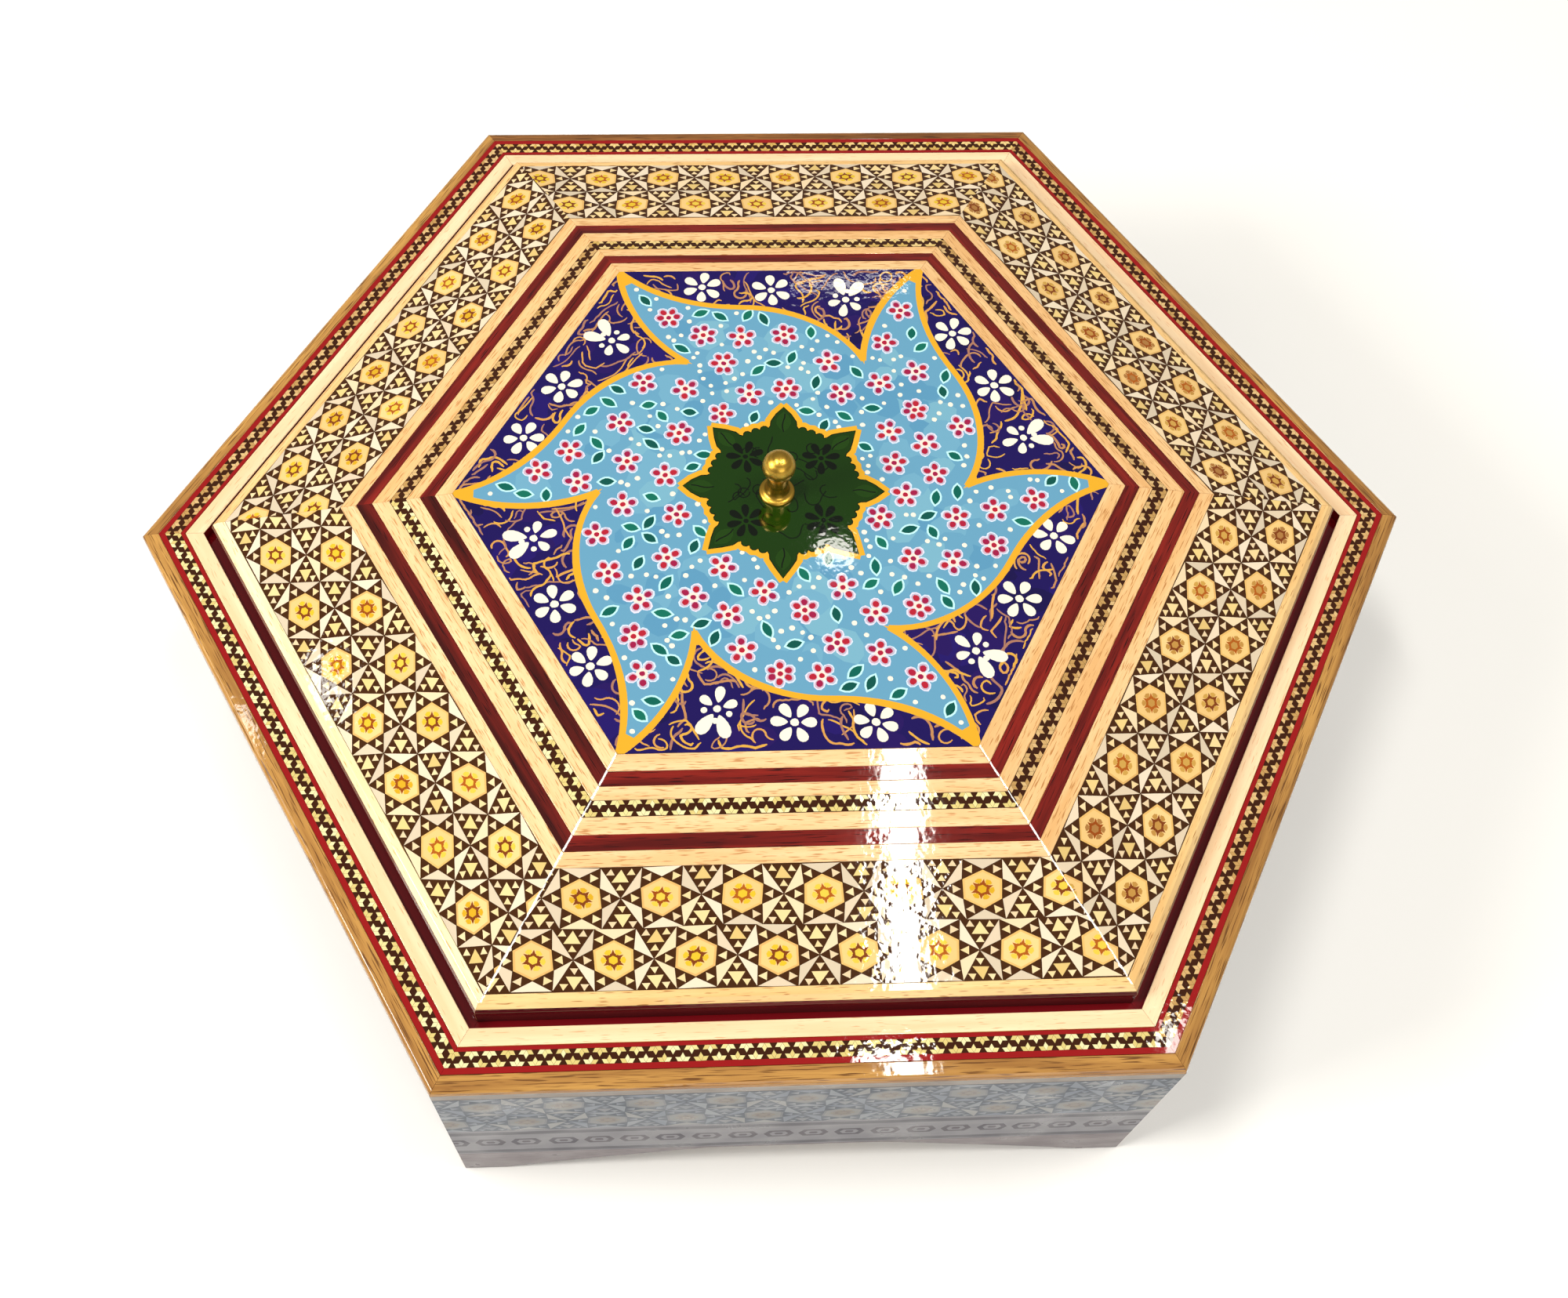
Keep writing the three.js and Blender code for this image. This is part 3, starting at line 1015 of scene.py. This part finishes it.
def scatter(dice, count, allowed, spots, spacing, reach=1.0):
    """Places picked at random, each kept clear of the spots already taken."""
    found = []
    for _ in range(count):
        angle = dice.uniform(0, math.tau)
        far = PANEL_CORNER * math.sqrt(dice.random()) * reach
        place = Vector((far * math.cos(angle), far * math.sin(angle)))
        if any((place - spot).length < clear + spacing for spot, clear in spots):
            continue
        if not allowed(place):
            continue
        found.append(place)
        spots.append((place, spacing))
    return found


def build_panel():
    dice = random.Random(SEED * 7)
    painting = Painting(dice)
    star, runs = pinwheel()
    for _ in range(220):
        far = PANEL_CORNER * dice.uniform(0.55, 1.0)
        painting.blob(spun((far, 0), dice.uniform(0, math.tau)), dice.uniform(0.8, 3.2), GROUND_BLUE, 1.8,
                      dice.uniform(0, math.tau))
    paint_vines(painting, dice, star)
    painting.fill(star, SKY[0])
    centre = medallion(dice)

    for i in range(SIDES):
        lean = dice.uniform(0, 1)
        for x, y, size, winged in WHITE_FLOWERS:
            middle = Vector((x + dice.uniform(-0.012, 0.012), y + dice.uniform(-0.008, 0.008)))
            middle = spun(middle * PANEL_CORNER, -i * TURN)
            if winged:
                winged_flower(painting, middle, size, math.atan2(middle.y, middle.x) + 0.1)
            else:
                white_flower(painting, middle, size, lean + x)

    def in_sky(edge):
        def check(place):
            return (inside(place, star) and not inside(place, centre)
                    and outline_gap(place, star) > edge and outline_gap(place, centre) > edge)
        return check

    for place in scatter(dice, 900, in_sky(5.5), [], 1.6):
        painting.blob(place, dice.uniform(2.0, 4.4), SKY, 1.3, dice.uniform(0, math.tau))
    spots = []
    for place in scatter(dice, 7000, in_sky(4.0), spots, 4.2):
        pink_flower(painting, place)
    leaves = scatter(dice, 6000, in_sky(2.3), spots, 1.85)
    for place in leaves:
        a = dice.uniform(0, math.tau)
        long = dice.uniform(3.1, 4.0)
        painting.almond(place, a, long + 1.2, 2.7, LEAF_RING)
        painting.almond(place, a, long, 1.85, LEAF_GREEN)
    for place in scatter(dice, 5000, in_sky(1.6), spots, 0.78):
        painting.blob(place, dice.uniform(0.52, 0.64), WHITE)

    for run in runs:
        bold = smooth_wave(dice, len(run), 0.22)
        painting.line(run, [1.45 + b for b in bold], GOLD_LINE[0])
    for i in range(SIDES):
        cusp = Vector(SHORT_SWEEP[0][0]) * PANEL_CORNER
        tip = [cusp + Vector(p) for p in ((-1.6, 3.4), (0.2, -1.4), (0.9, 4.2), (0.2, 2.6))]
        painting.fill([spun(p, -i * TURN) for p in tip], GOLD_LINE[0])
        corner = Vector((0.0, PANEL_CORNER))
        tip = [corner, corner + Vector((-1.5, -4.6)), corner + Vector((1.5, -4.6))]
        painting.fill([spun(p, math.radians(30) + i * TURN) for p in tip], GOLD_LINE[0])

    edge = centre + centre[:1]
    painting.line(edge, [2.5] * len(edge), GOLD_LINE[0])
    painting.fill(centre, NIGHT)
    painting.fill(shifted_outline(centre, -0.22), GREEN[0])
    for i in range(8):
        start = math.radians(87 - 45 * i)
        painting.almond(spun((18.2, 0.0), start), start, 5.6, 3.4, GREEN[1])
        vein = [spun((15.4 + j, 0.3 * math.sin(j)), start) for j in range(6)]
        painting.line(vein, [0.28] * 6, NIGHT)
    for i in range(4):
        middle = spun((11.9, 0.0), math.radians(42 + 91 * i))
        lean = dice.uniform(0, 1)
        for petal in range(7):
            a = lean + petal * math.tau / 7
            painting.drop(middle + spun((0.95, 0), a), a, 3.4, 2.2, NIGHT)
        painting.blob(middle, 0.6, NIGHT)
    for _ in range(26):
        place = spun((dice.uniform(3, 14), 0), dice.uniform(0, math.tau))
        heading = dice.uniform(0, math.tau)
        bend = 0.0
        points = [place]
        for _ in range(dice.randrange(6, 13)):
            bend = max(-0.6, min(0.6, bend + dice.uniform(-0.4, 0.4)))
            heading += bend
            place = place + spun((0.75, 0), heading)
            points.append(place)
        if max(p.length for p in points) < 15.5:
            painting.line(points, [0.26] * len(points), NIGHT)

    outline = [polar(PANEL_CORNER - GLUE, 60 * i) for i in range(SIDES)]

    def place(u, v, depth):
        return (u, v, PANEL_TOP - depth)

    thick = PANEL_TOP - node_box("lid_panel")[0][2]
    plate("painted_panel", outline, painting.tiles, place, thick, "lid_panel",
          GROUND_BLUE[0])


# Knob

KNOB_PROFILE = (
    (3.95, 0.0), (3.95, 0.45), (3.9, 0.62), (3.72, 0.8), (3.4, 0.95), (3.05, 1.12), (2.75, 1.45),
    (2.52, 1.95), (2.4, 2.7), (2.35, 3.6), (2.35, 5.6), (2.42, 6.5), (2.52, 7.2))
BALL_RADIUS = 3.65
BALL_HEIGHT = 10.2


def build_knob():
    low, high = node_box("knob")
    middle = ((low[0] + high[0]) / 2, (low[1] + high[1]) / 2)
    rings = list(KNOB_PROFILE)
    first = math.asin(KNOB_PROFILE[-1][0] / BALL_RADIUS)
    steps = 22
    for i in range(1, steps):
        a = first + (math.pi - first) * i / steps
        rings.append((BALL_RADIUS * math.sin(a), BALL_HEIGHT - BALL_RADIUS * math.cos(a)))
    around = 64
    points = []
    faces = []
    for radius, height in rings:
        for j in range(around):
            a = math.tau * j / around
            points.append(((middle[0] + radius * math.cos(a)) * MM,
                           (middle[1] + radius * math.sin(a)) * MM, (low[2] + height) * MM))
    for i in range(len(rings) - 1):
        for j in range(around):
            k = (j + 1) % around
            faces.append((i * around + j, i * around + k, (i + 1) * around + k, (i + 1) * around + j))
    top = len(points)
    points.append((middle[0] * MM, middle[1] * MM, (low[2] + BALL_HEIGHT + BALL_RADIUS) * MM))
    last = (len(rings) - 1) * around
    for j in range(around):
        faces.append((last + j, last + (j + 1) % around, top))
    faces.append(tuple(reversed(range(around))))
    mesh = bpy.data.meshes.new("turned_knob")
    mesh.from_pydata(points, [], faces)
    mesh.materials.append(BRASS)
    for face in mesh.polygons:
        face.use_smooth = True
    mesh.set_sharp_from_angle(angle=math.radians(40))
    make_object("turned_knob", mesh, "knob")


# Plain wooden pieces

FRONT_SIDE = 0
BACK_SIDE = 3
FRONT_LEFT_SIDE = 5
GRAIN_STEP = 211.0
WALL_EDGE = 0.4
RIM_EDGE = 0.2
LID_EDGE = 0.15


def rim_face(centre, normal):
    apothem = -centre.y
    if apothem > OUTER - 0.3 and centre.z < RIM_TOP - BROWN_DEPTH:
        return 3
    if apothem > INLAY_OUTER - 0.1 or normal.y < -0.5:
        return 0
    if centre.z < RIM_TOP - 0.4 or normal.z < 0.2:
        return 2
    return 1


def lid_face(centre, normal):
    apothem = -centre.y
    if normal.z < -0.1 or apothem < PANEL_RADIUS + 0.1:
        return 1
    # Faces near the lid's outer edge that turn sideways take the dark maroon: the side's stain, and painted
    # shade where the rounding turns away.
    if apothem > LID_OUTER - 0.6 and normal.z < 0.6:
        return 2
    if apothem > LID_KHATAM_OUTER - 0.5:
        return 3
    return 0


def stripe_face(centre, normal):
    """The wood of the stripes is darker on the front left side."""
    return 1 if side_number(centre) % SIDES == FRONT_LEFT_SIDE else 0


def build_wood():
    for i in range(SIDES):
        turn = i * TURN
        number = i + 1
        offset = GRAIN_STEP * number
        dressed_node(f"wall_{number}", [BASE_STRIP, INSIDE],
                     lambda c, n: 0 if n.y < -0.5 or n.z < -0.3 else 1,
                     turn, offset, WALL_EDGE)
        brown = BROWN_BACK if i == BACK_SIDE else BROWN
        # The front left side's lid edge takes the paler copy: a painted highlight.
        edge = EDGE_PAINTED_HIGHLIGHT if i == FRONT_LEFT_SIDE else EDGE_CREAM
        cream = CREAM_PALE if i in (FRONT_SIDE, FRONT_LEFT_SIDE) else CREAM
        dressed_node(f"rim_{number}", [brown, RIM_CREAM, LEDGE_RED, SIDE_BEIGE], rim_face,
                     turn, offset + 31, RIM_EDGE, cut_level=RIM_TOP - BROWN_DEPTH)
        dressed_node(f"lid_side_{number}", [cream, INSIDE, LID_EDGE_DARK, edge], lid_face,
                     turn, offset + 57, LID_EDGE, True)
    dressed_node("floor", [INSIDE], lambda c, n: 0)
    for name in ("lid_stripe_outer", "lid_stripe_inner"):
        dressed_node(name, [RED_BROWN, RED_DEEP], stripe_face, lid=True, ring=True)


# Camera

IMAGE_WIDTH = 2000
IMAGE_HEIGHT = 1656
SENSOR = 36.0
FOCAL_PIXELS = 2165.5
AXIS_PIXEL = (948.7, 650.0)
CAMERA_PLACE = (-25.57, -205.78, 392.83)
CAMERA_AHEAD = (0.044597, 0.538597, -0.841382)
CAMERA_RIGHT = (0.998889, -0.036877, 0.029339)


def build_camera():
    data = bpy.data.cameras.new("camera")
    data.sensor_width = SENSOR
    data.sensor_fit = "HORIZONTAL"
    data.lens = FOCAL_PIXELS / IMAGE_WIDTH * SENSOR
    data.shift_x = (IMAGE_WIDTH / 2 - AXIS_PIXEL[0]) / IMAGE_WIDTH
    data.shift_y = (AXIS_PIXEL[1] - IMAGE_HEIGHT / 2) / IMAGE_WIDTH
    data.clip_start = 0.01
    camera = add_object("camera", data)
    ahead = Vector(CAMERA_AHEAD).normalized()
    right = Vector(CAMERA_RIGHT).normalized()
    up = right.cross(ahead)
    camera.matrix_world = Matrix.Translation(Vector(CAMERA_PLACE) * MM) @ Matrix(
        (right, up, -ahead)).transposed().to_4x4()
    bpy.context.scene.camera = camera


# Light: level tubes overhead, which the lacquer mirrors, and three soft boxes

LAMP_COLOUR = (1.0, 0.965, 0.89)
TUBE_HEIGHT = 1.3


def lamp(name, place, width, length, watts, aim=None):
    """A soft rectangular lamp, aimed at a point or else hung level with its length along Y."""
    data = bpy.data.lights.new(name, "AREA")
    data.shape = "RECTANGLE"
    data.size = width
    data.size_y = length
    data.energy = watts
    data.color = LAMP_COLOUR
    made = add_object(name, data)
    made.location = place
    if aim:
        made.rotation_euler = (Vector(aim) - Vector(place)).to_track_quat("-Z", "Y").to_euler()


def build_light():
    world = bpy.data.worlds.new("studio")
    world.use_nodes = True
    set_inputs(world.node_tree.nodes["Background"], Color=(*LAMP_COLOUR, 1.0), Strength=0.25)
    bpy.context.scene.world = world
    dish = (0.0, 0.0, 0.05)
    lamp("key", (-1.2, -0.35, 0.85), 0.45, 0.45, 13, dish)
    lamp("window_left", (-1.2, 0.0, 0.9), 0.4, 0.7, 3, dish)
    lamp("front", (0.45, -1.5, 0.8), 1.0, 0.7, 4.4, dish)
    for name, place, width, length, watts in (
            ("tube_middle", (0.182, -0.12), 0.038, 0.44, 2.2),
            ("tube_rim", (0.166, 0.19), 0.06, 0.035, 0.28),
            ("tube_back", (0.15, 0.72), 0.035, 0.03, 0.06),
            ("tube_far", (0.19, 1.09), 0.13, 0.012, 0.06),
            ("tube_left", (-0.38, -0.06), 0.12, 0.5, 6),
            ("tube_right", (0.6, -0.05), 0.12, 0.5, 6),
            ("spot_left", (-0.9, 0.34), 0.03, 0.06, 0.08),
            ("spot_corner_right", (0.434, 0.2), 0.025, 0.06, 0.1)):
        lamp(name, (*place, TUBE_HEIGHT), width, length, watts)
    bpy.context.scene.view_settings.view_transform = "Standard"


def build_floor():
    size = 3.0
    mesh = bpy.data.meshes.new("floor_sheet")
    level = -0.0002
    corners = [(x, y, level) for x, y in mitred_outline(size, size, -size, size)]
    mesh.from_pydata(corners, [], [(0, 1, 2, 3)])
    material, _, shader = new_material("floor_pale")
    set_inputs(shader, Base_Color=(0.95, 0.95, 0.95, 1.0), Roughness=0.7)
    mesh.materials.append(material)
    add_object("floor_sheet", mesh)


build_camera()
build_light()
build_floor()
build_wood()
build_lid_inlays()
build_side_inlays()
build_rim_inlays()
build_panel()
build_knob()
